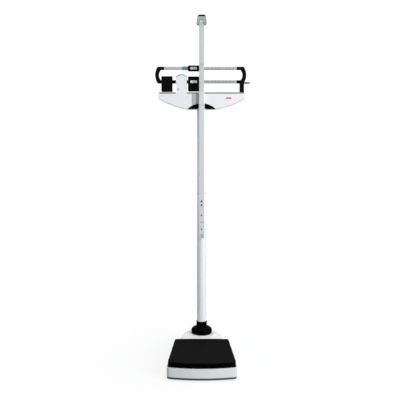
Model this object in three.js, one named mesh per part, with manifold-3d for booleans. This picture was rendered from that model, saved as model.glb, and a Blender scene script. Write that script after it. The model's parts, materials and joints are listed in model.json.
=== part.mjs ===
// A physician's beam scale: a bowed platform on a lever base, a round column, a beam with two
// sliding poises over a boat-shaped head, and a telescopic height rod with a folding headpiece.
// Millimetres, +Z up, +X to the right of a person who reads the beam, -Y towards that person.
// The origin is on the floor, in the middle of the object's outer box.
import * as THREE from "three";
import { mergeVertices } from "three/addons/utils/BufferGeometryUtils.js";
import Module from "manifold-3d";

const wasm = await Module();
wasm.setup();

// ---- Driving dimensions -------------------------------------------------------------------
// X and Y are measured from the column's axis in every constant below, and the whole scale is
// then moved by COLUMN_X and COLUMN_Y.

const GAP = 0.3; // clearance between pieces that touch
const CURVE_STEPS = 4; // straight steps in each drawn curve (twice as many in a quarter circle)

// Base and platform
const PLATFORM = { back: -110, front: -453, backHalf: 142.5, frontHalf: 162.5, bow: 21, corner: 14 };
const PLATFORM_TOP = 85;
const MAT_THICKNESS = 4.7;
const PLATE_WALL = 3;
const SKIRT_BOTTOM = 62;
const BASE_LIP = 6; // how far the base stands out past the platform
const TRAY = { bottom: 14.5, floor: 3, wall: 4, top: 59 };
const BASE_PLATE = { low: 4.5, inset: 1.5 };
const PLINTH = { half: 112.5, centre: -110, reach: 196, power: 2.2, top: 84, edge: 9, wall: 4 };
const BASE_FRONT = PLATFORM.front - PLATFORM.bow - BASE_LIP;
const BASE_REAR = PLINTH.centre + PLINTH.reach;
const COLUMN_Y = -(BASE_FRONT + BASE_REAR) / 2;
const FOOT = { radius: 16, stem: 5, x: [140, 68], y: [-432, 22] };
const WHEEL = { radius: 15.5, width: 12, x: 52, y: 60, z: 18, axle: 3 };
const LEVEL = { x: 65, y: -40, radius: 9 };

// Column
const COLUMN = { radius: 25.5, wall: 2, seat: 98, seam: 860, top: 1356 };
const SOCKET = { foot: 54, flange: 57.5, rim: 99, shoulder: 121.5, neck: 29.5, top: 151 };

// Levers in the base
const LONG_LEVER = { pivotY: -400, pivotX: 110, bottom: 26, top: 36, crossY: -290 };
const SHORT_LEVER = { pivotY: -140, pivotX: 100, bottom: 44, top: 54, noseY: -290 };
const LONG_LOAD_ARM = 40;
const SHORT_LOAD_ARM = 54.5;
const LEVER_WIDTH = 14;

// Head
const HEAD = { half: 236, depth: 34, wall: 3, side: 1380, low: 1317.3, top: 1405, lid: 7 };
const SADDLE = { half: 73.5, low: 1325, high: 1352 };
const TOWER = { x: -110.5, half: 30, foot: 26, side: 1497.5, top: 1512.5, back: 26, cap: 9 };
const CHASSIS = { left: -150, right: 165, half: 20, thickness: 5.4 };
const POST = { left: 209, right: 232.5, half: 13, cheek: 4.5, floor: 1455, top: 1480 };

// Beam
const FULCRUM = { x: TOWER.x, z: 1469 };
const LOAD_ARM = 15;
const BAR = { height: 16.6, thickness: 6, left: -207, right: 193 };
const UPPER_BAR_Z = 1547.5;
const LOWER_BAR_Z = 1473.7;
const YOKE = { left: -223, right: -76, half: 6, low: 1465, high: 1482 };
const BRACKET = { left: -255.3, right: 245, web: 17, wall: 20.3, bulge: 13, half: 6 };
const POINTER = { root: [233.2, 236.5], tip: 265.3, z: 1467.5, rootHeight: 9, tipHeight: 6, half: 2.5 };
const COLUMN_X = -(BRACKET.left + POINTER.tip) / 2;
const POISE = { x: -44, width: 62, bore: 0.5 };
const UPPER_POISE = { height: 29.5, front: -8.5, back: 13.5, window: [35, 14] };
const LOWER_POISE = { low: 1423, high: 1502, front: -9, back: 21, window: [37, 15] };
const COUNTERWEIGHT = { left: -220.5, right: -160.5, low: 1420, high: 1502, depth: 34 };
const NOTCH = { count: 20, pitch: 10, depth: 2.2 };
const TRANSFER = { pivotX: 150, half: 5, bottom: 1382, top: 1394 };

// Height rod
const ROD = { y: -48, width: 31, depth: 14, wall: 1.5, bottom: 621, top: 1409 };
const ROD_END = { low: 617, lip: 9 };
const ROD_INNER = { bottom: 985, top: 1793 };
const ROD_HEAD = { half: 27.3, low: 1774, wide: 1785, top: 1813, topHalf: 23, lowHalf: 20.5 };
const ROD_HEAD_DEPTH = { front: -70, back: -30 };
const ROD_CAP = { half: 20.5, height: 11.3, edge: 5 };
const HEADPIECE = { half: 13, thickness: 3.2, y: -58.4, end: 1560, barrel: 6 };
const HEADPIECE_PIVOT = { y: -63, z: 1788, pin: 2 };

// ---- Solids -------------------------------------------------------------------------------

// A closed geometry as a manifold solid.
function solid(geometry) {
  const bare = geometry.clone();
  bare.deleteAttribute("normal");
  bare.deleteAttribute("uv");
  const merged = mergeVertices(bare, 1e-4);
  const vertProperties = new Float32Array(merged.attributes.position.array);
  const triVerts = new Uint32Array(merged.index.array);
  return new wasm.Manifold(new wasm.Mesh({ numProp: 3, vertProperties, triVerts }));
}

// The geometry of a manifold solid.
function geometryOf(body) {
  const mesh = body.getMesh();
  const geometry = new THREE.BufferGeometry();
  geometry.setAttribute("position", new THREE.BufferAttribute(mesh.vertProperties, 3));
  geometry.setIndex(new THREE.BufferAttribute(mesh.triVerts, 1));
  return geometry.toNonIndexed();
}

function join(first, ...others) {
  return others.reduce((sum, next) => sum.add(next), first);
}

function cut(first, ...others) {
  return others.reduce((rest, next) => rest.subtract(next), first);
}

function box([x0, x1], [y0, y1], [z0, z1]) {
  const geometry = new THREE.BoxGeometry(x1 - x0, y1 - y0, z1 - z0);
  return solid(geometry.translate((x0 + x1) / 2, (y0 + y1) / 2, (z0 + z1) / 2));
}

function extrude(shape, depth) {
  return new THREE.ExtrudeGeometry(shape, { depth, bevelEnabled: false, curveSegments: CURVE_STEPS });
}

// An outline in X and Y, raised from z = low to z = high.
function prism(shape, low, high) {
  return solid(extrude(shape, high - low).translate(0, 0, low));
}

// A solid skinned over rings of [x, y, z] points, lowest ring first, all with the same count and
// running anticlockwise as seen from above. Both end caps are fans, so those rings are convex.
function loft(rings) {
  const count = rings[0].length;
  const corners = [];
  const add = (...points) => points.forEach((point) => corners.push(...point));
  for (let level = 1; level < rings.length; level++) {
    const low = rings[level - 1];
    const high = rings[level];
    for (let i = 0; i < count; i++) {
      const j = (i + 1) % count;
      add(low[i], low[j], high[j]);
      add(low[i], high[j], high[i]);
    }
  }
  const bottom = rings[0];
  const top = rings[rings.length - 1];
  for (let i = 1; i < count - 1; i++) {
    add(bottom[0], bottom[i + 1], bottom[i]);
    add(top[0], top[i], top[i + 1]);
  }
  const geometry = new THREE.BufferGeometry();
  geometry.setAttribute("position", new THREE.Float32BufferAttribute(corners, 3));
  return solid(geometry);
}

// A block with a rounded top edge. outline(shrink) gives its plan's points, drawn in by shrink.
function roundedBlock(outline, low, high, edge) {
  const ring = (shrink, z) => outline(shrink).map(([x, y]) => [x, y, z]);
  const rings = [ring(0, low)];
  const steps = 4;
  for (let i = 0; i <= steps; i++) {
    const angle = (Math.PI / 2) * (i / steps);
    rings.push(ring(edge * (1 - Math.cos(angle)), high - edge * (1 - Math.sin(angle))));
  }
  return loft(rings);
}

// An outline in X and Z, from y = front to y = back.
function frontPrism(shape, front, back) {
  return solid(extrude(shape, back - front).rotateX(Math.PI / 2).translate(0, back, 0));
}

// An outline in Y and Z, from x = left to x = right.
function sidePrism(shape, left, right) {
  const turn = new THREE.Matrix4().makeBasis(
    new THREE.Vector3(0, 1, 0),
    new THREE.Vector3(0, 0, 1),
    new THREE.Vector3(1, 0, 0),
  );
  return solid(extrude(shape, right - left).applyMatrix4(turn).translate(left, 0, 0));
}

// A closed profile of [radius, z] points, turned about the Z axis.
function turned(profile, segments = 32) {
  const points = profile.map(([radius, z]) => new THREE.Vector2(radius, z));
  return solid(new THREE.LatheGeometry(points, segments).rotateX(Math.PI / 2));
}

function tube(outer, inner, low, high, segments = 32) {
  const profile = [[inner, low], [outer, low], [outer, high], [inner, high], [inner, low]];
  return turned(profile, segments);
}

function rodAlongX(radius, left, right, y, z, segments = 16) {
  const geometry = new THREE.CylinderGeometry(radius, radius, right - left, segments);
  return solid(geometry.rotateZ(Math.PI / 2).translate((left + right) / 2, y, z));
}

function rodAlongY(radius, front, back, x, z, segments = 16) {
  const geometry = new THREE.CylinderGeometry(radius, radius, back - front, segments);
  return solid(geometry.translate(x, (front + back) / 2, z));
}

function rodAlongZ(radius, low, high, x = 0, y = 0, segments = 24) {
  const geometry = new THREE.CylinderGeometry(radius, radius, high - low, segments);
  return solid(geometry.rotateX(Math.PI / 2).translate(x, y, (low + high) / 2));
}

// A flat bar of a lever, from one point in plan to another.
function leverBar([x0, y0], [x1, y1], low, high) {
  const length = Math.hypot(x1 - x0, y1 - y0);
  const geometry = new THREE.BoxGeometry(length, LEVER_WIDTH, high - low);
  geometry.rotateZ(Math.atan2(y1 - y0, x1 - x0));
  return solid(geometry.translate((x0 + x1) / 2, (y0 + y1) / 2, (low + high) / 2));
}

// ---- Outlines -----------------------------------------------------------------------------

function polygon(points) {
  return new THREE.Shape(points.map(([x, y]) => new THREE.Vector2(x, y)));
}

function roundedRect([x0, x1], [y0, y1], radius) {
  const shape = new THREE.Shape();
  shape.moveTo(x0 + radius, y0);
  shape.lineTo(x1 - radius, y0);
  shape.absarc(x1 - radius, y0 + radius, radius, -Math.PI / 2, 0);
  shape.lineTo(x1, y1 - radius);
  shape.absarc(x1 - radius, y1 - radius, radius, 0, Math.PI / 2);
  shape.lineTo(x0 + radius, y1);
  shape.absarc(x0 + radius, y1 - radius, radius, Math.PI / 2, Math.PI);
  shape.lineTo(x0, y0 + radius);
  shape.absarc(x0 + radius, y0 + radius, radius, Math.PI, 1.5 * Math.PI);
  return shape;
}

// The circle through (-half, edge) and (half, edge) with its top or bottom at `middle`.
function arcThrough(half, edge, middle) {
  const sagitta = Math.abs(middle - edge);
  const radius = (half * half + sagitta * sagitta) / (2 * sagitta);
  return { radius, centre: middle > edge ? middle - radius : middle + radius };
}

// Platform plan: narrower at the back, with a bowed front, grown on all sides by `grow`.
function platformShape(grow) {
  const back = PLATFORM.back + grow;
  const front = PLATFORM.front - grow;
  const backHalf = PLATFORM.backHalf + grow;
  const frontHalf = PLATFORM.frontHalf + grow;
  const corner = PLATFORM.corner + grow;
  const side = new THREE.Vector2(frontHalf - backHalf, front - back).setLength(corner);
  const bowAt = (x) => front - PLATFORM.bow * (1 - (x / frontHalf) ** 2);
  const shape = new THREE.Shape();
  shape.moveTo(corner - backHalf, back);
  shape.lineTo(backHalf - corner, back);
  shape.quadraticCurveTo(backHalf, back, backHalf + side.x, back + side.y);
  shape.lineTo(frontHalf - side.x, front - side.y);
  const bowEnd = frontHalf - corner;
  shape.quadraticCurveTo(frontHalf, front, bowEnd, bowAt(bowEnd));
  const steps = 12;
  for (let i = 1; i <= steps; i++) {
    const x = bowEnd * (1 - (2 * i) / steps);
    shape.lineTo(x, bowAt(x));
  }
  shape.quadraticCurveTo(-frontHalf, front, side.x - frontHalf, front - side.y);
  shape.lineTo(-backHalf - side.x, back + side.y);
  shape.quadraticCurveTo(-backHalf, back, corner - backHalf, back);
  return shape;
}

// Points of the plinth's plan: a straight front edge and a superellipse round the column.
function plinthPoints(grow, front) {
  const half = PLINTH.half + grow;
  const reach = PLINTH.reach + grow;
  const points = [[-half, front], [half, front]];
  const steps = 28;
  for (let i = 0; i <= steps; i++) {
    const angle = (Math.PI * i) / steps;
    const across = Math.abs(Math.cos(angle)) ** (2 / PLINTH.power);
    const along = Math.abs(Math.sin(angle)) ** (2 / PLINTH.power);
    points.push([Math.sign(Math.cos(angle)) * half * across, PLINTH.centre + reach * along]);
  }
  return points;
}

// Boat-shaped front view of the head: straight sides and one long arc below.
function headShape(inset, top) {
  const half = HEAD.half - inset;
  const arc = arcThrough(HEAD.half, HEAD.side, HEAD.low);
  const radius = arc.radius - inset;
  const swing = Math.asin(half / radius);
  const shape = new THREE.Shape();
  shape.moveTo(half, top);
  shape.lineTo(-half, top);
  const steps = 20;
  for (let i = 0; i <= steps; i++) {
    const angle = swing * ((2 * i) / steps - 1);
    shape.lineTo(radius * Math.sin(angle), arc.centre - radius * Math.cos(angle));
  }
  return shape;
}

// Segment with a flat bottom and an arched top.
function saddleShape(grow, low) {
  const arc = arcThrough(SADDLE.half, SADDLE.low, SADDLE.high);
  const radius = arc.radius + grow;
  const swing = Math.acos((SADDLE.low - arc.centre) / radius);
  const shape = new THREE.Shape();
  const steps = 14;
  const half = radius * Math.sin(swing);
  shape.moveTo(-half, low);
  shape.lineTo(half, low);
  for (let i = 0; i <= steps; i++) {
    const angle = swing * (1 - (2 * i) / steps);
    shape.lineTo(radius * Math.sin(angle), arc.centre + radius * Math.cos(angle));
  }
  return shape;
}

// Front view of the fulcrum tower: sides that spread a little upwards, and an arched top.
function towerShape(inset, low, topDrop) {
  const half = TOWER.half - inset;
  const side = TOWER.side - topDrop;
  const taper = (TOWER.half - TOWER.foot) / (TOWER.side - HEAD.top);
  const foot = half - taper * (side - low);
  const arc = arcThrough(half, side, TOWER.top - topDrop - inset);
  const swing = Math.asin(half / arc.radius);
  const shape = new THREE.Shape();
  shape.moveTo(TOWER.x - foot, low);
  shape.lineTo(TOWER.x + foot, low);
  const steps = 12;
  for (let i = 0; i <= steps; i++) {
    const angle = swing * (1 - (2 * i) / steps);
    shape.lineTo(TOWER.x + arc.radius * Math.sin(angle), arc.centre + arc.radius * Math.cos(angle));
  }
  return shape;
}

// C-shaped bracket that joins the two bars of the beam, opening towards +X.
function bracketShape(outer, highTip, lowTip) {
  const high = UPPER_BAR_Z + BAR.height / 2;
  const low = YOKE.low;
  const middle = (high + low) / 2;
  const { web, wall, bulge } = BRACKET;
  const shape = new THREE.Shape();
  const bow = (xEnd, xMiddle, z0, z1) => {
    const steps = 10;
    for (let i = 0; i <= steps; i++) {
      const z = z0 + ((z1 - z0) * i) / steps;
      const away = (2 * (z - middle)) / (z1 - z0);
      shape.lineTo(xMiddle + (xEnd - xMiddle) * away * away, z);
    }
  };
  shape.moveTo(highTip, high);
  bow(outer + bulge, outer, high, low);
  shape.lineTo(lowTip, low);
  shape.lineTo(lowTip, low + web);
  bow(outer + bulge + wall - 2, outer + wall, low + web, high - web);
  shape.lineTo(highTip, high - web);
  return shape;
}

// ---- Base ---------------------------------------------------------------------------------

const joinedOutline = (grow, low, high) =>
  join(
    prism(platformShape(BASE_LIP + grow), low, high),
    prism(polygon(plinthPoints(grow, PLATFORM.back - 20)), low, high),
  );

const footPlaces = [
  ["foot_front_left", -FOOT.x[0], FOOT.y[0]],
  ["foot_front_right", FOOT.x[0], FOOT.y[0]],
  ["foot_rear_left", -FOOT.x[1], FOOT.y[1]],
  ["foot_rear_right", FOOT.x[1], FOOT.y[1]],
];

// Wells for the two transport wheels, and the channel that their axle lies in.
function wheelWells() {
  const reach = WHEEL.width / 2 + 2;
  const wells = [-1, 1].map((side) =>
    box(
      [side * WHEEL.x - reach, side * WHEEL.x + reach],
      [WHEEL.y - WHEEL.radius - 3, WHEEL.y + 40],
      [0, WHEEL.z + WHEEL.radius + 3],
    ),
  );
  const half = WHEEL.x + reach + 6;
  const channel = box([-half, half], [WHEEL.y - 3.5, WHEEL.y + 3.5], [TRAY.bottom - 1, WHEEL.z + 4]);
  return join(...wells, channel);
}

function baseTray() {
  const shell = cut(
    joinedOutline(0, TRAY.bottom, TRAY.top),
    joinedOutline(-TRAY.wall, TRAY.bottom + TRAY.floor, TRAY.top + 1),
  );
  const holes = footPlaces.map(([, x, y]) => rodAlongZ(FOOT.stem + GAP, 0, TRAY.top, x, y));
  return cut(shell, wheelWells(), ...holes);
}

function basePlate() {
  const plate = joinedOutline(-BASE_PLATE.inset, BASE_PLATE.low, TRAY.bottom - GAP);
  const holes = footPlaces.map(([, x, y]) => rodAlongZ(FOOT.radius + 2, 0, TRAY.top, x, y));
  const reach = WHEEL.width / 2 + 2;
  const slots = [-1, 1].map((side) =>
    box(
      [side * WHEEL.x - reach, side * WHEEL.x + reach],
      [WHEEL.y - WHEEL.radius - 3, WHEEL.y + 40],
      [0, TRAY.bottom],
    ),
  );
  return cut(plate, ...holes, ...slots);
}

function plinthCover() {
  const front = PLATFORM.back + 4;
  const low = TRAY.top + GAP;
  const start = PLINTH.centre - 10;
  const side = PLINTH.half + 1;
  const ahead = (edge) => box([-side, side], [start - 1, edge], [low - 2, PLINTH.top + 1]);
  const outline = (shrink) => plinthPoints(-shrink, start);
  const outside = roundedBlock(outline, low, PLINTH.top, PLINTH.edge);
  const hollow = prism(polygon(plinthPoints(-PLINTH.edge, start)), low - 1, PLINTH.top - PLINTH.wall);
  const inside = cut(hollow, ahead(front + PLINTH.wall));
  return cut(outside, ahead(front), inside, rodAlongZ(20, low, PLINTH.top + 1));
}

// Steel bridge under the column, between the tray's floor and the plinth's top.
function columnPedestal() {
  const half = 50;
  const sheet = 4;
  const low = TRAY.bottom + TRAY.floor + GAP;
  const high = PLINTH.top - PLINTH.wall - GAP;
  const bridge = cut(
    box([-half, half], [-45, 40], [low, high]),
    box([sheet - half, half - sheet], [-50, 45], [low - 1, high - sheet]),
  );
  return cut(bridge, rodAlongZ(15, low, high + 1));
}

// A pillow-shaped flange, widest at its rim, with a straight neck that grips the column.
function columnSocket() {
  const low = PLINTH.top + GAP;
  const bore = COLUMN.radius + GAP;
  const seat = COLUMN.seat - GAP;
  const tuck = SOCKET.foot + 0.8 * (SOCKET.flange - SOCKET.foot);
  const spread = SOCKET.flange - SOCKET.neck;
  const rise = SOCKET.shoulder - SOCKET.rim;
  const steps = 6;
  const dome = Array.from({ length: steps + 1 }, (_, i) => {
    const angle = (Math.PI / 2) * (i / steps);
    return [SOCKET.neck + spread * Math.cos(angle), SOCKET.rim + rise * Math.sin(angle)];
  });
  return turned(
    [
      [14, low], [SOCKET.foot, low], [tuck, (low + SOCKET.rim) / 2], ...dome,
      [SOCKET.neck, SOCKET.top], [bore, SOCKET.top], [bore, seat], [14, seat], [14, low],
    ],
    40,
  );
}

function levelBody() {
  const pocket = LEVEL.radius - 2;
  return turned(
    [
      [0, 0], [LEVEL.radius, 0], [LEVEL.radius, 4], [LEVEL.radius - 0.8, 5], [pocket, 5],
      [pocket, 1.5], [0, 1.5],
    ],
    24,
  );
}

function levelGlass() {
  const radius = LEVEL.radius - 2 - GAP;
  return turned([[0, 1.8], [radius, 1.8], [radius, 5], [radius * 0.6, 5.7], [0, 6]], 24);
}

function foot() {
  return turned(
    [[0, 0], [FOOT.radius - 1, 0], [FOOT.radius, 1], [FOOT.radius, 5], [7, 8], [FOOT.stem, 9],
      [FOOT.stem, 28], [0, 28]],
    24,
  );
}

function wheel() {
  const half = WHEEL.width / 2;
  const bore = WHEEL.axle + GAP;
  const profile = [
    [bore, -half], [WHEEL.radius - 1.5, -half], [WHEEL.radius, 1.5 - half],
    [WHEEL.radius, half - 1.5], [WHEEL.radius - 1.5, half], [bore, half], [bore, -half],
  ];
  const points = profile.map(([radius, x]) => new THREE.Vector2(radius, x));
  return solid(new THREE.LatheGeometry(points, 24).rotateZ(-Math.PI / 2));
}

function platformPlate() {
  const high = PLATFORM_TOP - MAT_THICKNESS - GAP;
  const under = high - PLATE_WALL;
  const shell = cut(
    prism(platformShape(0), SKIRT_BOTTOM, high),
    prism(platformShape(-PLATE_WALL), SKIRT_BOTTOM - 1, under),
  );
  const leg = (x, y, low) => box([x - 6, x + 6], [y - 6, y + 6], [low + 0.5, under + 1]);
  const frontY = LONG_LEVER.pivotY + LONG_LOAD_ARM;
  const frontX = (LONG_LEVER.pivotX * frontY) / LONG_LEVER.pivotY;
  const rearY = SHORT_LEVER.pivotY - SHORT_LOAD_ARM;
  const reach = SHORT_LEVER.pivotY - SHORT_LEVER.noseY;
  const rearX = SHORT_LEVER.pivotX * (1 - SHORT_LOAD_ARM / reach);
  const legs = [-1, 1].flatMap((side) => [
    leg(side * frontX, frontY, LONG_LEVER.top),
    leg(side * rearX, rearY, SHORT_LEVER.top),
  ]);
  return join(shell, ...legs);
}

function platformMat() {
  return prism(platformShape(0), PLATFORM_TOP - MAT_THICKNESS, PLATFORM_TOP);
}

// A-shaped lever from the two front pivots to the draw rod under the column.
function longLever() {
  const { pivotX, pivotY, bottom, top, crossY } = LONG_LEVER;
  const crossX = (pivotX * crossY) / pivotY;
  const arms = [-1, 1].map((side) => leverBar([side * pivotX, pivotY], [0, 0], bottom, top));
  const cross = leverBar([-crossX, crossY], [crossX, crossY], bottom, top);
  const eye = rodAlongZ(13, bottom, top);
  return cut(join(arms[0], arms[1], cross, eye), rodAlongZ(3.6, bottom - 1, top + 1));
}

// V-shaped lever from the two rear pivots to its nose over the long lever's cross bar.
function shortLever() {
  const { pivotX, pivotY, bottom, top, noseY } = SHORT_LEVER;
  const arms = [-1, 1].map((side) => leverBar([side * pivotX, pivotY], [0, noseY], bottom, top));
  const nose = rodAlongZ(10, LONG_LEVER.top + 0.5, top, 0, noseY);
  return join(arms[0], arms[1], nose);
}

// Floor bar with a bearing post under each of a lever's two pivots.
function leverStand(pivotX, pivotY, leverBottom) {
  const low = TRAY.bottom + TRAY.floor + GAP;
  const bar = box([-pivotX - 10, pivotX + 10], [pivotY - 7, pivotY + 7], [low, low + 5]);
  const posts = [-1, 1].map((side) => {
    const x = side * pivotX;
    const wedge = polygon([
      [pivotY - 6, low + 4], [pivotY + 6, low + 4], [pivotY + 1, leverBottom - GAP],
      [pivotY - 1, leverBottom - GAP],
    ]);
    return sidePrism(wedge, x - 7, x + 7);
  });
  return join(bar, ...posts);
}

// ---- Column and draw rod ------------------------------------------------------------------

const columnTube = (low, high) => tube(COLUMN.radius, COLUMN.radius - COLUMN.wall, low, high, 40);

function columnSleeve() {
  const outer = COLUMN.radius - COLUMN.wall - GAP;
  return tube(outer, outer - 3, COLUMN.seam - 60, COLUMN.seam + 60);
}

function drawRod() {
  const low = LONG_LEVER.bottom - 7;
  const high = TRANSFER.top + 6;
  return join(
    rodAlongZ(3, low, high, 0, 0, 12),
    rodAlongZ(6, low, LONG_LEVER.bottom - GAP, 0, 0, 12),
    rodAlongZ(6, TRANSFER.top + GAP, high, 0, 0, 12),
  );
}

// ---- Head ---------------------------------------------------------------------------------

function headSaddle() {
  const segment = frontPrism(saddleShape(0, SADDLE.low), -HEAD.depth, HEAD.depth);
  return cut(segment, rodAlongZ(COLUMN.radius + GAP, SADDLE.low - 1, SADDLE.high + 1, 0, 0, 40));
}

// Room for the beam's yoke in the tower's two sides.
const towerSlot = () =>
  box([TOWER.x - 40, TOWER.x + 40], [-YOKE.half - 3, YOKE.half + 3], [YOKE.low - 13, YOKE.high + 12]);

// One half of the head's shell, from y = face (closed by a wall) to y = seam (open), with its
// part of the fulcrum tower.
function headShell(face, seam, towerFace, topDrop) {
  const order = (a, b) => [Math.min(a, b), Math.max(a, b)];
  const inward = Math.sign(seam - face);
  const beyond = seam + inward;
  const boat = frontPrism(headShape(0, HEAD.top), ...order(face, seam));
  const hold = frontPrism(headShape(HEAD.wall, HEAD.top + 1), ...order(face + inward * HEAD.wall, beyond));
  const low = HEAD.top - 3;
  const tower = frontPrism(towerShape(0, low, topDrop), ...order(towerFace, seam));
  const well = frontPrism(
    towerShape(HEAD.wall, low - 1, topDrop),
    ...order(towerFace + inward * HEAD.wall, beyond),
  );
  const room = frontPrism(saddleShape(GAP, HEAD.low - 5), -HEAD.depth - 1, HEAD.depth + 1);
  const web = box(
    [TOWER.x - TOWER.foot, TOWER.x + TOWER.foot],
    order(towerFace, face + inward),
    [low, HEAD.top],
  );
  const shell = join(cut(boat, hold), cut(tower, well), web);
  return cut(shell, well, room, towerSlot());
}

// Grey arch that fills the step between the tower's front cover and its taller rear half.
function towerCap() {
  const low = TOWER.side - 2 * TOWER.cap;
  return cut(
    frontPrism(towerShape(0, low, 0), 2 - HEAD.depth, -GAP),
    frontPrism(towerShape(-GAP, low - 1, TOWER.cap), 1 - HEAD.depth, 1),
  );
}

function headLid() {
  const plate = prism(
    roundedRect([GAP + 3 - HEAD.half, HEAD.half - 3 - GAP], [-HEAD.depth, HEAD.depth], 4),
    HEAD.top + GAP,
    HEAD.top + HEAD.lid,
  );
  const half = TOWER.half + GAP;
  const opening = box(
    [TOWER.x - half, TOWER.x + half],
    [-HEAD.depth - 1, TOWER.back + GAP],
    [HEAD.top, HEAD.top + HEAD.lid + 1],
  );
  return cut(plate, opening);
}

function headChassis() {
  const low = COLUMN.top + GAP;
  const { left, right, half, thickness } = CHASSIS;
  const plate = box([left, right], [-half, half], [low, low + thickness]);
  return cut(plate, rodAlongZ(12, low - 1, low + thickness + 1));
}

const chassisTop = COLUMN.top + GAP + CHASSIS.thickness + GAP;

// Forked steel stand whose two V notches carry the beam's fulcrum knife.
function fulcrumStand() {
  const half = 8;
  const inner = 8.5;
  const outer = 13;
  const high = FULCRUM.z + 8;
  const block = box([FULCRUM.x - half, FULCRUM.x + half], [-outer, outer], [chassisTop, high]);
  const gap = box([FULCRUM.x - half - 1, FULCRUM.x + half + 1], [-inner, inner], [chassisTop + 6, high + 1]);
  const notch = frontPrism(
    polygon([[FULCRUM.x, FULCRUM.z - GAP], [FULCRUM.x + 7, high + 1], [FULCRUM.x - 7, high + 1]]),
    -outer - 1,
    outer + 1,
  );
  return cut(block, gap, notch);
}

function transferStand() {
  const high = TRANSFER.bottom - GAP;
  const side = polygon([
    [TRANSFER.pivotX - 7, chassisTop], [TRANSFER.pivotX + 7, chassisTop],
    [TRANSFER.pivotX + 7, chassisTop + 8], [TRANSFER.pivotX + 1, high], [TRANSFER.pivotX - 1, high],
    [TRANSFER.pivotX - 7, chassisTop + 8],
  ]);
  return frontPrism(side, -12, 12);
}

const loadX = FULCRUM.x - LOAD_ARM;

function transferLever() {
  const bar = box(
    [loadX - 5, TRANSFER.pivotX + 8],
    [-TRANSFER.half, TRANSFER.half],
    [TRANSFER.bottom, TRANSFER.top],
  );
  return cut(bar, rodAlongZ(3.6, TRANSFER.bottom - 1, TRANSFER.top + 1));
}

// U-shaped stirrup that hangs from the beam's load knife and lifts the transfer lever.
function beamLink() {
  const outer = 17;
  const inner = 13;
  const half = 5;
  const low = TRANSFER.bottom - 6;
  const block = box([loadX - half, loadX + half], [-outer, outer], [low, FULCRUM.z + 9]);
  const reach = half + 1;
  const heights = [TRANSFER.bottom - GAP, FULCRUM.z + 10];
  const room = box([loadX - reach, loadX + reach], [-inner, inner], heights);
  return cut(block, room, rodAlongY(3.7, -outer - 1, outer + 1, loadX, FULCRUM.z, 20));
}

// Forked post that limits how far the beam's free end can fall.
function trigPost() {
  const low = HEAD.top + HEAD.lid + GAP;
  const block = box([POST.left, POST.right], [-POST.half, POST.half], [low, POST.top]);
  const inner = POST.half - POST.cheek;
  return cut(block, box([POST.left - 1, POST.right + 1], [-inner, inner], [POST.floor, POST.top + 1]));
}

function towerScrew() {
  const x = TOWER.x - 16;
  const z = HEAD.top + 24;
  const head = rodAlongY(4, -HEAD.depth - 2.3, -HEAD.depth - GAP, x, z, 20);
  const slot = box([x - 5, x + 5], [-HEAD.depth - 3, -HEAD.depth - 1.6], [z - 0.5, z + 0.5]);
  return cut(head, slot);
}

// ---- Beam ---------------------------------------------------------------------------------

const fulcrumKnifeShape = (grow) =>
  polygon([
    [FULCRUM.x, FULCRUM.z - 2 * grow], [FULCRUM.x + 4 + 1.5 * grow, FULCRUM.z + 7 + grow],
    [FULCRUM.x - 4 - 1.5 * grow, FULCRUM.z + 7 + grow],
  ]);

const loadKnifeShape = (grow) =>
  polygon([
    [loadX, FULCRUM.z + 3 + 2 * grow], [loadX - 2.2 - 1.5 * grow, FULCRUM.z - 1.8 - grow],
    [loadX + 2.2 + 1.5 * grow, FULCRUM.z - 1.8 - grow],
  ]);

function beamYoke() {
  const bar = box([YOKE.left + GAP, YOKE.right], [-YOKE.half, YOKE.half], [YOKE.low, YOKE.high]);
  return cut(
    bar,
    frontPrism(fulcrumKnifeShape(GAP), -10, 10),
    frontPrism(loadKnifeShape(GAP), -10, 10),
  );
}

const barBox = (left, right, z, grow) =>
  box(
    [left, right],
    [-BAR.thickness / 2 - grow, BAR.thickness / 2 + grow],
    [z - BAR.height / 2 - grow, z + BAR.height / 2 + grow],
  );

const upperBar = () => barBox(BAR.left + GAP, BAR.right - GAP, UPPER_BAR_Z, 0);

// The lower bar has a notch in its top edge for each stop of the large poise.
function lowerBar() {
  const bar = barBox(YOKE.right + GAP, BAR.right - GAP, LOWER_BAR_Z, 0);
  const high = LOWER_BAR_Z + BAR.height / 2;
  const notches = [];
  for (let i = 0; i <= NOTCH.count; i++) {
    const x = POISE.x + POISE.width / 2 + 4 + i * NOTCH.pitch;
    if (x > BAR.right - 4) break;
    const wedge = polygon([[x - 2, high + 1], [x, high - NOTCH.depth], [x + 2, high + 1]]);
    notches.push(frontPrism(wedge, -BAR.thickness, BAR.thickness));
  }
  return cut(bar, ...notches);
}

const bracketLeft = () =>
  frontPrism(bracketShape(BRACKET.left, BAR.left, YOKE.left), -BRACKET.half, BRACKET.half);

function bracketRight() {
  const shape = bracketShape(-BRACKET.right, -BAR.right, -BAR.right);
  const mirrored = shape.getPoints().map((p) => [-p.x, p.y]);
  return frontPrism(polygon(mirrored), -BRACKET.half, BRACKET.half);
}

function pointer() {
  const { root, tip, z, rootHeight, tipHeight, half } = POINTER;
  const side = polygon([
    [root[0], z - rootHeight / 2], [tip, z - tipHeight / 2], [tip, z + tipHeight / 2],
    [root[1], z + rootHeight / 2],
  ]);
  return frontPrism(side, -half, half);
}

function stopSleeve() {
  const left = -106;
  const right = POISE.x - POISE.width / 2 - 0.5;
  return cut(
    box([left, right], [-5.5, 5.5], [UPPER_BAR_Z - 9.6, UPPER_BAR_Z + 9.6]),
    barBox(left - 1, right + 1, UPPER_BAR_Z, GAP),
  );
}

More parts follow.
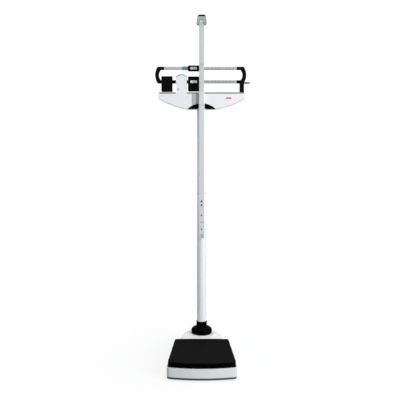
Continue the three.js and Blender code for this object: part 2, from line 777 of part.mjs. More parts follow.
// A poise: a rounded block with a bore for its bar and a reading window in its front.
function poise([low, high], [front, back], [windowWidth, windowHeight], barZ) {
  const left = POISE.x - POISE.width / 2;
  const right = POISE.x + POISE.width / 2;
  const block = frontPrism(roundedRect([left, right], [low, high], 5), front, back);
  const window = frontPrism(
    roundedRect(
      [POISE.x - windowWidth / 2, POISE.x + windowWidth / 2],
      [barZ - windowHeight / 2, barZ + windowHeight / 2],
      3,
    ),
    front - 1,
    0,
  );
  return cut(block, barBox(left - 1, right + 1, barZ, POISE.bore), window);
}

const upperPoise = () =>
  poise(
    [UPPER_BAR_Z - UPPER_POISE.height / 2, UPPER_BAR_Z + UPPER_POISE.height / 2],
    [UPPER_POISE.front, UPPER_POISE.back],
    UPPER_POISE.window,
    UPPER_BAR_Z,
  );

const lowerPoise = () =>
  poise(
    [LOWER_POISE.low, LOWER_POISE.high],
    [LOWER_POISE.front, LOWER_POISE.back],
    LOWER_POISE.window,
    LOWER_BAR_Z,
  );

function counterweight() {
  const { left, right, low, high, depth } = COUNTERWEIGHT;
  const block = frontPrism(roundedRect([left, right], [low, high], 3), -depth / 2, depth / 2);
  const grow = POISE.bore;
  const bore = box(
    [left - 1, right + 1],
    [-YOKE.half - grow, YOKE.half + grow],
    [YOKE.low - grow, YOKE.high + grow],
  );
  const x = (left + right) / 2;
  const z = (YOKE.low + YOKE.high) / 2;
  return cut(block, bore, rodAlongY(2.8, 0, depth, x, z, 12));
}

// Knurled screw that clamps the counterweight to the yoke from behind.
function counterweightScrew() {
  const x = (COUNTERWEIGHT.left + COUNTERWEIGHT.right) / 2;
  const z = (YOKE.low + YOKE.high) / 2;
  const face = COUNTERWEIGHT.depth / 2 + GAP;
  return join(
    rodAlongY(2.4, YOKE.half + GAP, face + 1, x, z, 12),
    rodAlongY(8, face, face + 9, x, z, 24),
  );
}

// ---- Height rod ---------------------------------------------------------------------------

const rodBox = (shrink, low, high) =>
  prism(
    roundedRect(
      [shrink - ROD.width / 2, ROD.width / 2 - shrink],
      [ROD.y - ROD.depth / 2 + shrink, ROD.y + ROD.depth / 2 - shrink],
      Math.max(1, 3 - shrink),
    ),
    low,
    high,
  );

const rodOuter = () => cut(rodBox(0, ROD.bottom, ROD.top), rodBox(ROD.wall, ROD.bottom - 1, ROD.top + 1));

const innerShrink = ROD.wall + GAP;

const rodInner = () =>
  cut(
    rodBox(innerShrink, ROD_INNER.bottom, ROD_INNER.top),
    rodBox(innerShrink + 1.2, ROD_INNER.bottom - 1, ROD_INNER.top - 4),
  );

const rodCollar = () =>
  cut(rodBox(-0.4, ROD.top + GAP, ROD.top + 5), rodBox(ROD.wall, ROD.top, ROD.top + 6));

const rodEndCap = () =>
  join(
    rodBox(0, ROD_END.low, ROD.bottom - GAP),
    rodBox(innerShrink, ROD.bottom - 1, ROD.bottom + ROD_END.lip),
  );

// Plate on the head's face, down to the saddle's arch, that carries the fixed tube on a spacer.
function rodBracket() {
  const face = -HEAD.depth - GAP;
  const rodBack = ROD.y + ROD.depth / 2 + GAP;
  const arch = frontPrism(saddleShape(GAP, SADDLE.low - 5), face - 4, face + 1);
  return join(
    cut(box([-51, 14], [face - 3, face], [SADDLE.low, HEAD.top - 1]), arch),
    box([-11, 11], [rodBack, face - 2], [SADDLE.high + 12, HEAD.top - 12]),
  );
}

// Block between the column and the fixed tube.
function rodStandoff(low) {
  const rodBack = ROD.y + ROD.depth / 2 + GAP;
  const block = box([-11, 11], [rodBack, -10], [low, low + 40]);
  return cut(block, rodAlongZ(COLUMN.radius + GAP, low - 1, low + 41, 0, 0, 40));
}

function rodHead() {
  const { half, low, wide, top, topHalf, lowHalf } = ROD_HEAD;
  const shape = new THREE.Shape();
  shape.moveTo(-lowHalf, low);
  shape.lineTo(lowHalf, low);
  shape.quadraticCurveTo(half, low + 3, half, wide);
  shape.lineTo(topHalf, top);
  shape.lineTo(-topHalf, top);
  shape.lineTo(-half, wide);
  shape.quadraticCurveTo(-half, low + 3, -lowHalf, low);
  const block = frontPrism(shape, ROD_HEAD_DEPTH.front, ROD_HEAD_DEPTH.back);
  const socket = rodBox(ROD.wall, low - 1, ROD_INNER.top + GAP);
  const slotHalf = HEADPIECE.half + 1;
  const { y, z, pin } = HEADPIECE_PIVOT;
  const slot = box(
    [-slotHalf, slotHalf],
    [ROD_HEAD_DEPTH.front - 1, y + HEADPIECE.barrel + 0.8],
    [low - 1, z + HEADPIECE.barrel + 0.6],
  );
  const hole = rodAlongX(pin + GAP, -half - 1, half + 1, y, z);
  return cut(block, socket, slot, hole);
}

function rodHeadCap() {
  const { front, back } = ROD_HEAD_DEPTH;
  const outline = (shrink) => {
    const inset = 4 + shrink;
    const reach = ROD_CAP.half - shrink;
    const shape = roundedRect([-reach, reach], [front + inset, back - inset], 7);
    return shape.getPoints(4).slice(0, -1).map((point) => [point.x, point.y]);
  };
  return roundedBlock(outline, ROD_HEAD.top + GAP, ROD_HEAD.top + ROD_CAP.height, ROD_CAP.edge);
}

// A thin tongue that hangs in front of the rod from a round knuckle. Its free end is chamfered.
function headpiece() {
  const { half, thickness, y, end, barrel } = HEADPIECE;
  const pivot = HEADPIECE_PIVOT;
  const front = y - thickness / 2;
  const back = y + thickness / 2;
  const side = polygon([
    [front, pivot.z], [front, end + 14], [back - 1.2, end], [back, end], [back, pivot.z],
  ]);
  const tongue = sidePrism(side, -half, half);
  const knuckle = rodAlongX(barrel, -half, half, pivot.y, pivot.z, 24);
  const bore = rodAlongX(pivot.pin + GAP, -half - 1, half + 1, pivot.y, pivot.z);
  return cut(join(tongue, knuckle), bore);
}

function headpiecePin() {
  const reach = ROD_HEAD.half - 1;
  const { y, z, pin } = HEADPIECE_PIVOT;
  return rodAlongX(pin, -reach, reach, y, z, 12);
}

// ---- Scene graph --------------------------------------------------------------------------

const FINISH = {
  white: [0xeeeff0, 0.35, 0.1],
  black: [0x16140f, 0.45, 0.1],
  grey: [0xa3adac, 0.45, 0.2],
  rubber: [0x1a1818, 0.85, 0],
  steel: [0x8c8f90, 0.4, 0.9],
  silver: [0xc4c7c8, 0.35, 0.8],
  dark: [0x45525a, 0.6, 0.4],
  glass: [0xdfe8d0, 0.1, 0],
  teal: [0x7e8c8d, 0.4, 0.3],
};

function piece(group, name, body, finish, [x, y, z] = [0, 0, 0]) {
  const [color, roughness, metalness] = FINISH[finish];
  const material = new THREE.MeshStandardMaterial({ color, roughness, metalness });
  const mesh = new THREE.Mesh(geometryOf(body), material);
  mesh.name = name;
  mesh.position.set(x, y, z);
  group.add(mesh);
}

function makeBase() {
  const base = new THREE.Group();
  piece(base, "base_tray", baseTray(), "white");
  piece(base, "base_plate", basePlate(), "dark");
  piece(base, "plinth_cover", plinthCover(), "white");
  piece(base, "column_pedestal", columnPedestal(), "steel");
  piece(base, "column_socket", columnSocket(), "black");
  const levelPlace = [LEVEL.x, LEVEL.y, PLINTH.top + GAP];
  piece(base, "spirit_level_body", levelBody(), "grey", levelPlace);
  piece(base, "spirit_level_glass", levelGlass(), "glass", levelPlace);
  for (const [name, x, y] of footPlaces) piece(base, name, foot(), "rubber", [x, y, 0]);
  piece(base, "wheel_left", wheel(), "rubber", [-WHEEL.x, WHEEL.y, WHEEL.z]);
  piece(base, "wheel_right", wheel(), "rubber", [WHEEL.x, WHEEL.y, WHEEL.z]);
  const axleHalf = WHEEL.x + WHEEL.width / 2 + 6;
  piece(base, "wheel_axle", rodAlongX(WHEEL.axle, -axleHalf, axleHalf, WHEEL.y, WHEEL.z), "steel");
  const front = leverStand(LONG_LEVER.pivotX, LONG_LEVER.pivotY, LONG_LEVER.bottom);
  const rear = leverStand(SHORT_LEVER.pivotX, SHORT_LEVER.pivotY, SHORT_LEVER.bottom);
  piece(base, "lever_stand_front", front, "steel");
  piece(base, "lever_stand_rear", rear, "steel");
  piece(base, "long_lever", longLever(), "steel");
  piece(base, "short_lever", shortLever(), "steel");
  piece(base, "platform_plate", platformPlate(), "black");
  piece(base, "platform_mat", platformMat(), "rubber");
  return base;
}

function makeColumn() {
  const column = new THREE.Group();
  piece(column, "column_lower", columnTube(COLUMN.seat, COLUMN.seam - GAP), "white");
  piece(column, "column_upper", columnTube(COLUMN.seam + GAP, COLUMN.top), "white");
  piece(column, "column_sleeve", columnSleeve(), "steel");
  piece(column, "draw_rod", drawRod(), "steel");
  return column;
}

function makeHead() {
  const head = new THREE.Group();
  const seam = GAP / 2;
  piece(head, "head_saddle", headSaddle(), "black");
  piece(head, "head_shell_front", headShell(-HEAD.depth, -seam, -HEAD.depth, TOWER.cap), "white");
  piece(head, "head_shell_rear", headShell(HEAD.depth, seam, TOWER.back, 0), "white");
  piece(head, "head_lid", headLid(), "grey");
  piece(head, "head_chassis", headChassis(), "steel");
  piece(head, "tower_cap", towerCap(), "grey");
  piece(head, "tower_screw", towerScrew(), "grey");
  piece(head, "fulcrum_stand", fulcrumStand(), "steel");
  piece(head, "transfer_stand", transferStand(), "steel");
  piece(head, "transfer_lever", transferLever(), "steel");
  piece(head, "beam_link", beamLink(), "steel");
  piece(head, "trig_post", trigPost(), "black");
  return head;
}

function makeBeam() {
  const beam = new THREE.Group();
  piece(beam, "beam_yoke", beamYoke(), "black");
  piece(beam, "fulcrum_knife", frontPrism(fulcrumKnifeShape(0), -15, 15), "steel");
  piece(beam, "load_knife", frontPrism(loadKnifeShape(0), -18, 18), "steel");
  piece(beam, "upper_bar", upperBar(), "silver");
  piece(beam, "lower_bar", lowerBar(), "silver");
  piece(beam, "bracket_left", bracketLeft(), "black");
  piece(beam, "bracket_right", bracketRight(), "black");
  piece(beam, "pointer", pointer(), "black");
  piece(beam, "stop_sleeve", stopSleeve(), "teal");
  piece(beam, "counterweight", counterweight(), "black");
  piece(beam, "counterweight_screw", counterweightScrew(), "steel");
  piece(beam, "upper_poise", upperPoise(), "black");
  piece(beam, "lower_poise", lowerPoise(), "black");
  return beam;
}

function makeRod() {
  const rod = new THREE.Group();
  piece(rod, "rod_outer", rodOuter(), "silver");
  piece(rod, "rod_inner", rodInner(), "silver");
  piece(rod, "rod_collar", rodCollar(), "grey");
  piece(rod, "rod_end_cap", rodEndCap(), "grey");
  piece(rod, "rod_bracket", rodBracket(), "grey");
  piece(rod, "rod_standoff_upper", rodStandoff(1200), "grey");
  piece(rod, "rod_standoff_lower", rodStandoff(680), "grey");
  piece(rod, "rod_head", rodHead(), "grey");
  piece(rod, "rod_head_cap", rodHeadCap(), "black");
  piece(rod, "headpiece", headpiece(), "silver");
  piece(rod, "headpiece_pin", headpiecePin(), "steel");
  return rod;
}

const scale = new THREE.Group();
scale.add(makeBase(), makeColumn(), makeHead(), makeBeam(), makeRod());
scale.position.set(COLUMN_X, COLUMN_Y, 0);

export default scale;
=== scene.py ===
"""The physician's beam scale in its studio: finer surfaces, printed scales, materials and light."""

import json
import math

import bmesh
import bpy
from mathutils import Matrix, Vector

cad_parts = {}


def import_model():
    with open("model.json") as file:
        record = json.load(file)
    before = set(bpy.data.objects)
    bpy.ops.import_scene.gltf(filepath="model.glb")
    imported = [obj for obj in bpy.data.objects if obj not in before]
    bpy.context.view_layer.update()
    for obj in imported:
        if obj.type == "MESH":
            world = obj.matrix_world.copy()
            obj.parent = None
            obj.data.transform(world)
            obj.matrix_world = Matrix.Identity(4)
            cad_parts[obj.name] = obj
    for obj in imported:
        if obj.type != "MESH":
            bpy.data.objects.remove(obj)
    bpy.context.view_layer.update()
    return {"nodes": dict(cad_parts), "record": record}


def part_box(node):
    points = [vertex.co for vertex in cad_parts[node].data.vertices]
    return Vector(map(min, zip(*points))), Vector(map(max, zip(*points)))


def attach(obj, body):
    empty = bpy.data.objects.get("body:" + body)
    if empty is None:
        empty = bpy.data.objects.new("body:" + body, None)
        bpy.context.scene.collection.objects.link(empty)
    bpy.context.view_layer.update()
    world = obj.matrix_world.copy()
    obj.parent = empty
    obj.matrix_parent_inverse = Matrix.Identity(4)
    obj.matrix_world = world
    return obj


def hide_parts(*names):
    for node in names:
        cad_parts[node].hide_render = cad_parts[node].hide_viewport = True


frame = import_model()

NODES = frame["nodes"]
RECORD = frame["record"]
BODY_OF = {n: body for body, names in RECORD["behaviour"]["bodies"].items() for n in names}
MM = 0.001


# ---- Materials ----------------------------------------------------------------------------

class Nodes:
    """A material's node tree, with short calls for the nodes that every surface here uses."""

    def __init__(self, name, stretch=(1, 1, 1)):
        self.material = bpy.data.materials.new(name)
        self.material.use_nodes = True
        self.tree = self.material.node_tree
        self.shader = self.tree.nodes["Principled BSDF"]
        place = self.tree.nodes.new("ShaderNodeTexCoord")
        self.place = self.tree.nodes.new("ShaderNodeMapping")
        self.place.inputs["Scale"].default_value = stretch
        self.tree.links.new(place.outputs["Object"], self.place.inputs["Vector"])

    def link(self, source, target):
        self.tree.links.new(source, target)

    def noise(self, scale, detail=3.0, roughness=0.5):
        """Noise with features of about 1/scale metres."""
        node = self.tree.nodes.new("ShaderNodeTexNoise")
        node.inputs["Scale"].default_value = scale
        node.inputs["Detail"].default_value = detail
        node.inputs["Roughness"].default_value = roughness
        self.link(self.place.outputs["Vector"], node.inputs["Vector"])
        return node.outputs["Fac"]

    def spread(self, value, low, high, dark=0.3, light=0.7):
        """value's middle band, from dark to light, mapped onto low to high."""
        node = self.tree.nodes.new("ShaderNodeMapRange")
        node.inputs["From Min"].default_value = dark
        node.inputs["From Max"].default_value = light
        node.inputs["To Min"].default_value = low
        node.inputs["To Max"].default_value = high
        self.link(value, node.inputs["Value"])
        return node.outputs["Result"]

    def mix(self, factor, first, second):
        """Colours mixed by factor. Either colour may be a socket."""
        node = self.tree.nodes.new("ShaderNodeMix")
        node.data_type = "RGBA"
        self.link(factor, node.inputs["Factor"])
        for colour, target in ((first, node.inputs["A"]), (second, node.inputs["B"])):
            if isinstance(colour, bpy.types.NodeSocket):
                self.link(colour, target)
            else:
                target.default_value = (*colour, 1)
        return node.outputs["Result"]

    def bump(self, height, distance, strength=1.0):
        node = self.tree.nodes.new("ShaderNodeBump")
        node.inputs["Strength"].default_value = strength
        node.inputs["Distance"].default_value = distance
        self.link(height, node.inputs["Height"])
        self.link(node.outputs["Normal"], self.shader.inputs["Normal"])


def shade(colour, factor):
    """A colour made darker or lighter by factor."""
    return tuple(min(1.0, channel * factor) for channel in colour)


def surface(name, colour, roughness, *, mottle, grain, metallic=0.0, coat=0.0, gloss=0.5, specks=None,
            stretch=(1, 1, 1)):
    """A worn surface. mottle is (scale, share): slow colour change. grain is (scale, height): bump
    and gloss change. specks is (colour, scale, threshold): small marks of dust or wear."""
    nodes = Nodes(name, stretch)
    mottle_scale, share = mottle
    grain_scale, height = grain
    slow = nodes.spread(nodes.noise(mottle_scale), 0.0, 1.0)
    base = nodes.mix(slow, shade(colour, 1 - share), shade(colour, 1 + share))
    fine = nodes.noise(grain_scale, 4.0, 0.6)
    if specks:
        speck_colour, scale, threshold = specks
        marks = nodes.spread(nodes.noise(scale, 5.0, 0.7), 0.0, 1.0, threshold, threshold + 0.06)
        base = nodes.mix(marks, base, speck_colour)
    nodes.link(base, nodes.shader.inputs["Base Color"])
    nodes.link(nodes.spread(fine, roughness * 0.85, roughness * 1.15), nodes.shader.inputs["Roughness"])
    nodes.shader.inputs["Metallic"].default_value = metallic
    nodes.shader.inputs["Coat Weight"].default_value = coat
    nodes.shader.inputs["Coat Roughness"].default_value = 0.12
    nodes.shader.inputs["Specular IOR Level"].default_value = gloss
    nodes.bump(fine, height)
    return nodes.material


def level_fluid():
    """Yellow-green liquid under clear plastic."""
    nodes = Nodes("level_fluid")
    slow = nodes.spread(nodes.noise(300), 0.0, 1.0)
    nodes.link(nodes.mix(slow, (0.50, 0.66, 0.16), (0.62, 0.75, 0.25)), nodes.shader.inputs["Base Color"])
    nodes.shader.inputs["Roughness"].default_value = 0.05
    nodes.shader.inputs["Transmission Weight"].default_value = 0.5
    nodes.shader.inputs["Coat Weight"].default_value = 1.0
    return nodes.material


WHITE = surface("white_powder_coat", (0.87, 0.88, 0.905), 0.38, mottle=(6, 0.015), grain=(900, 0.00006),
                coat=0.25, specks=((0.62, 0.62, 0.60), 160, 0.73))
# The base band's white is the same white coat made darker: painted shade for the lower, less lit band.
SHADED_BAND_WHITE = surface("white_coat_painted_shade", (0.765, 0.785, 0.79), 0.38, mottle=(6, 0.015), grain=(900, 0.00006),
                     coat=0.25, specks=((0.58, 0.58, 0.56), 160, 0.73))
COLUMN_WHITE = surface("white_column_coat", (0.88, 0.89, 0.91), 0.34, mottle=(5, 0.015),
                       grain=(800, 0.00005), coat=0.3, specks=((0.66, 0.66, 0.64), 150, 0.74))
# The head lid's grey-green is painted shade: the housing's top edge seen edge-on in shadow.
LID_PAINTED_SHADE = surface("grey_green_lid_painted_shade", (0.18, 0.222, 0.219), 0.42, mottle=(14, 0.05),
                     grain=(1100, 0.00005), specks=((0.34, 0.37, 0.36), 240, 0.70))
# The rod bracket plate's grey is painted shadow: the rod's shadow cast on the housing to its left.
BRACKET_PAINTED_SHADOW = surface("grey_panel_painted_shadow", (0.43, 0.50, 0.49), 0.42, mottle=(14, 0.05),
                     grain=(1100, 0.00005), specks=((0.44, 0.48, 0.47), 240, 0.70))
# The tower cap's pale grey is painted shade along the tower's rounded top edge.
ARCH_PAINTED_SHADE = surface("pale_grey_arch_painted_shade", (0.48, 0.51, 0.50), 0.42, mottle=(14, 0.04), grain=(1100, 0.00005))
# The base plate is a real part; its dark blue-grey is painted shade of the gap between the base and the
# floor.
BASE_GAP_SHADE = surface("blue_grey_underside_painted_shade", (0.055, 0.085, 0.105), 0.5, mottle=(12, 0.12),
                     grain=(700, 0.00008), specks=((0.14, 0.17, 0.19), 200, 0.68))
BLACK_IRON = surface("black_painted_iron", (0.0036, 0.003, 0.0024), 0.42, gloss=0.06, mottle=(30, 0.25),
                     grain=(500, 0.00018), specks=((0.04, 0.037, 0.033), 260, 0.68))
BLACK_PLASTIC = surface("black_moulded_plastic", (0.0010, 0.0009, 0.0007), 0.35, gloss=0.02, mottle=(20, 0.2),
                        grain=(1400, 0.00005), specks=((0.018, 0.017, 0.015), 300, 0.71))
BLACK_PAINT = surface("black_platform_paint", (0.001, 0.0008, 0.0006), 0.5, gloss=0.02, mottle=(15, 0.2),
                      grain=(900, 0.00008), specks=((0.02, 0.018, 0.016), 220, 0.71))
RUBBER = surface("black_ribbed_rubber", (0.0040, 0.0033, 0.0036), 0.62, gloss=0.04, mottle=(10, 0.25),
                 grain=(1200, 0.00012), specks=((0.030, 0.027, 0.027), 180, 0.69))
ALUMINIUM = surface("brushed_aluminium", (0.76, 0.79, 0.81), 0.42, mottle=(30, 0.05), grain=(1500, 0.00003),
                    metallic=0.3, stretch=(1, 1, 0.03), specks=((0.58, 0.59, 0.60), 500, 0.70))
INNER_ALUMINIUM = surface("brushed_inner_aluminium", (0.665, 0.695, 0.715), 0.42, mottle=(30, 0.05),
                          grain=(1500, 0.00003), metallic=0.3, stretch=(1, 1, 0.03),
                          specks=((0.50, 0.51, 0.52), 500, 0.70))
BAR_METAL = surface("brushed_beam_metal", (0.56, 0.575, 0.57), 0.45, mottle=(30, 0.06), grain=(1500, 0.00003),
                    metallic=0.4, stretch=(0.03, 1, 1), specks=((0.46, 0.47, 0.47), 500, 0.70))
NOTCHED_METAL = surface("notched_beam_metal", (0.46, 0.475, 0.47), 0.45, mottle=(30, 0.06),
                        grain=(1500, 0.00003), metallic=0.4, stretch=(0.03, 1, 1),
                        specks=((0.36, 0.37, 0.37), 500, 0.70))
STEEL = surface("zinc_plated_steel", (0.50, 0.51, 0.50), 0.38, mottle=(60, 0.12), grain=(900, 0.00004),
                metallic=1.0, specks=((0.36, 0.35, 0.32), 260, 0.68))
GREY_PLASTIC = surface("grey_moulded_plastic", (0.35, 0.41, 0.41), 0.48, mottle=(40, 0.06),
                       grain=(1600, 0.00007), specks=((0.48, 0.52, 0.52), 400, 0.71))
TEAL_PLASTIC = surface("teal_moulded_plastic", (0.16, 0.23, 0.245), 0.45, mottle=(60, 0.08),
                       grain=(1600, 0.00007))
INK = surface("dark_ink", (0.045, 0.048, 0.05), 0.6, mottle=(400, 0.15), grain=(2500, 0.00001))
GREY_INK = surface("grey_ink", (0.17, 0.18, 0.18), 0.6, mottle=(400, 0.15), grain=(2500, 0.00001))
BADGE_RED = surface("red_badge_enamel", (0.64, 0.18, 0.17), 0.35, mottle=(120, 0.06), grain=(1800, 0.00003))
LENS = surface("pale_window_lens", (0.86, 0.92, 0.87), 0.25, mottle=(200, 0.04), grain=(2000, 0.00002),
               coat=0.5)
FLUID = level_fluid()


# ---- Meshes -------------------------------------------------------------------------------

def piece(name, mesh, material, body, replaced=()):
    """A finished piece of the object, riding on its body."""
    mesh.materials.clear()
    mesh.materials.append(material)
    made = bpy.data.objects.new(name, mesh)
    bpy.context.scene.collection.objects.link(made)
    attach(made, body)
    if replaced:
        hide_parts(*replaced)
    return made


def mesh_of(name, work, smooth=True):
    """A bmesh as a mesh of that name."""
    bmesh.ops.recalc_face_normals(work, faces=work.faces[:])
    for face in work.faces:
        face.smooth = smooth
    mesh = bpy.data.meshes.new(name)
    work.to_mesh(mesh)
    work.free()
    return mesh


def soften(made, edge, segments):
    """Rounds the sharp edges and keeps the flat faces flat."""
    bevel = made.modifiers.new("rounded_edges", "BEVEL")
    bevel.width = edge
    bevel.segments = segments
    bevel.limit_method = "ANGLE"
    bevel.angle_limit = math.radians(38)
    bevel.miter_outer = "MITER_ARC"
    normals = made.modifiers.new("flat_faces", "WEIGHTED_NORMAL")
    normals.weight = 60


def cad_shape(node):
    """A copy of the CAD node's shape with its flat faces merged."""
    work = bmesh.new()
    work.from_mesh(NODES[node].data)
    bmesh.ops.remove_doubles(work, verts=work.verts[:], dist=0.002 * MM)
    bmesh.ops.dissolve_limit(work, angle_limit=math.radians(0.6), verts=work.verts[:], edges=work.edges[:])
    return work


def dressed(node, material, edge, segments):
    """The CAD node's shape with rounded edges and its own material."""
    name = f"{node}_finish"
    made = piece(name, mesh_of(name, cad_shape(node)), material, BODY_OF[node], [node])
    soften(made, edge, segments)


def add_box(work, low, high):
    """Adds a box between two corners."""
    centre = (Vector(low) + Vector(high)) / 2
    size = Vector(high) - Vector(low)
    bmesh.ops.create_cube(work, size=1, matrix=Matrix.Translation(centre) @ Matrix.Diagonal((*size, 1)))


def lathe(profile, centre, segments=96):
    """A closed surface turned about a vertical line through centre. profile is (radius, z) pairs."""
    work = bmesh.new()
    rings = []
    for radius, z in profile:
        if radius == 0:
            rings.append([work.verts.new((centre[0], centre[1], z))])
            continue
        turns = (2 * math.pi * i / segments for i in range(segments))
        rings.append([
            work.verts.new((centre[0] + radius * math.cos(a), centre[1] + radius * math.sin(a), z))
            for a in turns
        ])
    for low, high in zip(rings, rings[1:]):
        for i in range(segments):
            j = (i + 1) % segments
            if len(low) == 1:
                work.faces.new((low[0], high[j], high[i]))
            elif len(high) == 1:
                work.faces.new((low[i], low[j], high[0]))
            else:
                work.faces.new((low[i], low[j], high[j], high[i]))
    return work


def flat_ring(inner, outer, low, high, centre, segments):
    """A closed ring with a rectangular section."""
    profile = [(inner, low), (outer, low), (outer, high), (inner, high), (inner, low)]
    ring = lathe(profile, centre, segments)
    bmesh.ops.remove_doubles(ring, verts=ring.verts[:], dist=0.001 * MM)
    return ring


def text_mesh(work, words, size, place):
    """Adds a number's outline as thin faces. place takes the flat text's points to the object."""
    font = bpy.data.curves.new("number", "FONT")
    font.body = words
    font.size = size
    font.align_x = "CENTER"
    font.align_y = "CENTER"
    font.extrude = 0.08 * MM
    font.resolution_u = 2
    holder = bpy.data.objects.new("number", font)
    bpy.context.scene.collection.objects.link(holder)
    flat = bpy.data.meshes.new_from_object(holder.evaluated_get(bpy.context.evaluated_depsgraph_get()))
    flat.transform(place)
    work.from_mesh(flat)
    bpy.data.objects.remove(holder)
    bpy.data.meshes.remove(flat)


# ---- CAD shapes with rounded edges and materials ------------------------------------------

# Each CAD node's material, then its edge rounding in millimetres and in steps.
FINISHES = {
    "base_tray": (SHADED_BAND_WHITE, 1.7, 3), "base_plate": (BASE_GAP_SHADE, 0.8, 2), "plinth_cover": (WHITE, 0.8, 2),
    "spirit_level_body": (WHITE, 0.3, 2), "wheel_axle": (STEEL, 0.3, 2),
    "head_shell_front": (WHITE, 1.2, 3), "head_shell_rear": (WHITE, 1.2, 3), "head_lid": (LID_PAINTED_SHADE, 0.8, 2),
    "head_saddle": (BLACK_PLASTIC, 0.6, 2), "tower_cap": (ARCH_PAINTED_SHADE, 0.8, 2), "tower_screw": (STEEL, 0.3, 2),
    "trig_post": (BLACK_IRON, 0.8, 2),
    "column_lower": (COLUMN_WHITE, 0.9, 3), "column_upper": (COLUMN_WHITE, 0.9, 3),
    "rod_outer": (ALUMINIUM, 0.3, 2), "rod_collar": (ALUMINIUM, 0.5, 2), "rod_end_cap": (ALUMINIUM, 0.5, 2),
    "rod_bracket": (BRACKET_PAINTED_SHADOW, 0.7, 2), "rod_standoff_upper": (GREY_PLASTIC, 0.5, 2),
    "rod_standoff_lower": (GREY_PLASTIC, 0.5, 2), "rod_inner": (INNER_ALUMINIUM, 0.3, 2),
    "rod_head": (GREY_PLASTIC, 2.4, 4), "rod_head_cap": (BLACK_PLASTIC, 0.6, 2),
    "headpiece": (INNER_ALUMINIUM, 0.5, 2), "headpiece_pin": (STEEL, 0.3, 2),
    "platform_plate": (BLACK_PAINT, 1.2, 3),
    "beam_yoke": (BLACK_IRON, 0.8, 2),
    "bracket_left": (BLACK_IRON, 1.6, 3), "bracket_right": (BLACK_IRON, 1.6, 3),
    "pointer": (BLACK_IRON, 0.3, 2), "stop_sleeve": (TEAL_PLASTIC, 0.6, 2),
    "upper_bar": (BAR_METAL, 0.3, 2), "lower_bar": (NOTCHED_METAL, 0.25, 2),
    "upper_poise": (BLACK_IRON, 1.0, 3), "lower_poise": (BLACK_IRON, 1.0, 3),
    "counterweight": (BLACK_IRON, 1.0, 3), "counterweight_screw": (STEEL, 0.5, 2),
    "fulcrum_knife": (STEEL, 0.1, 1), "load_knife": (STEEL, 0.1, 1), "fulcrum_stand": (STEEL, 0.4, 2),
    "beam_link": (STEEL, 0.4, 2), "foot_front_left": (RUBBER, 0.5, 2), "foot_front_right": (RUBBER, 0.5, 2),
    "foot_rear_left": (RUBBER, 0.5, 2), "foot_rear_right": (RUBBER, 0.5, 2),
    "wheel_left": (RUBBER, 0.5, 2), "wheel_right": (RUBBER, 0.5, 2),
}


def dress_cad_nodes():
    """Finished copies of the seen nodes, and plain steel on the ones inside."""
    for node, (material, edge, segments) in FINISHES.items():
        dressed(node, material, edge * MM, segments)
    for node in ("column_pedestal", "column_sleeve", "lever_stand_front", "lever_stand_rear", "long_lever",
                 "short_lever", "draw_rod", "head_chassis", "transfer_stand", "transfer_lever"):
        NODES[node].data.materials.clear()
        NODES[node].data.materials.append(STEEL)


# ---- Base ---------------------------------------------------------------------------------

def outline_at(node, x):
    """The lowest and the highest y of a node's outline at x."""
    mesh = NODES[node].data
    reached = []
    for edge in mesh.edges:
        a, b = (mesh.vertices[i].co for i in edge.vertices)
        if min(a.x, b.x) - 1e-9 <= x <= max(a.x, b.x) + 1e-9:
            share = 0.5 if abs(b.x - a.x) < 1e-9 else (x - a.x) / (b.x - a.x)
            reached.append(a.y + share * (b.y - a.y))
    return min(reached), max(reached)


def platform_mat():
    """The rubber mat: a rounded slab with fine ribs from front to back inside a plain border."""
    low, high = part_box("platform_mat")
    rib_height = 0.7 * MM
    border = 9 * MM
    pitch = 5 * MM
    work = cad_shape("platform_mat")
    for vert in work.verts:
        if vert.co.z > (low.z + high.z) / 2:
            vert.co.z -= rib_height
    slab = piece("platform_mat_slab", mesh_of("platform_mat_slab", work), RUBBER, "platform",
                 ["platform_mat"])
    soften(slab, 1.6 * MM, 4)

    ribs = bmesh.new()
    middle = (low.x + high.x) / 2
    count = int((high.x - middle - border) / pitch)
    crown = high.z
    slope = rib_height + 0.3 * MM
    foot = crown - slope
    wide, narrow = 1.7 * MM, 0.9 * MM
    for i in range(-count, count + 1):
        x = middle + i * pitch
        nearest, farthest = outline_at("platform_mat", x)
        front = nearest + border
        back = farthest - border
        if back - front < 30 * MM:
            continue
        corners = []
        for z, half, inset in ((foot, wide, 0.0), (crown, narrow, slope)):
            corners.append([
                ribs.verts.new((x + sx * half, y, z))
                for sx, y in ((-1, front + inset), (1, front + inset), (1, back - inset), (-1, back - inset))
            ])
        bottom, top = corners
        ribs.faces.new(top)
        ribs.faces.new(bottom[::-1])
        for k in range(4):
            ribs.faces.new((bottom[k], bottom[(k + 1) % 4], top[(k + 1) % 4], top[k]))
    piece("platform_mat_ribs", mesh_of("platform_mat_ribs", ribs, smooth=False), RUBBER, "platform")


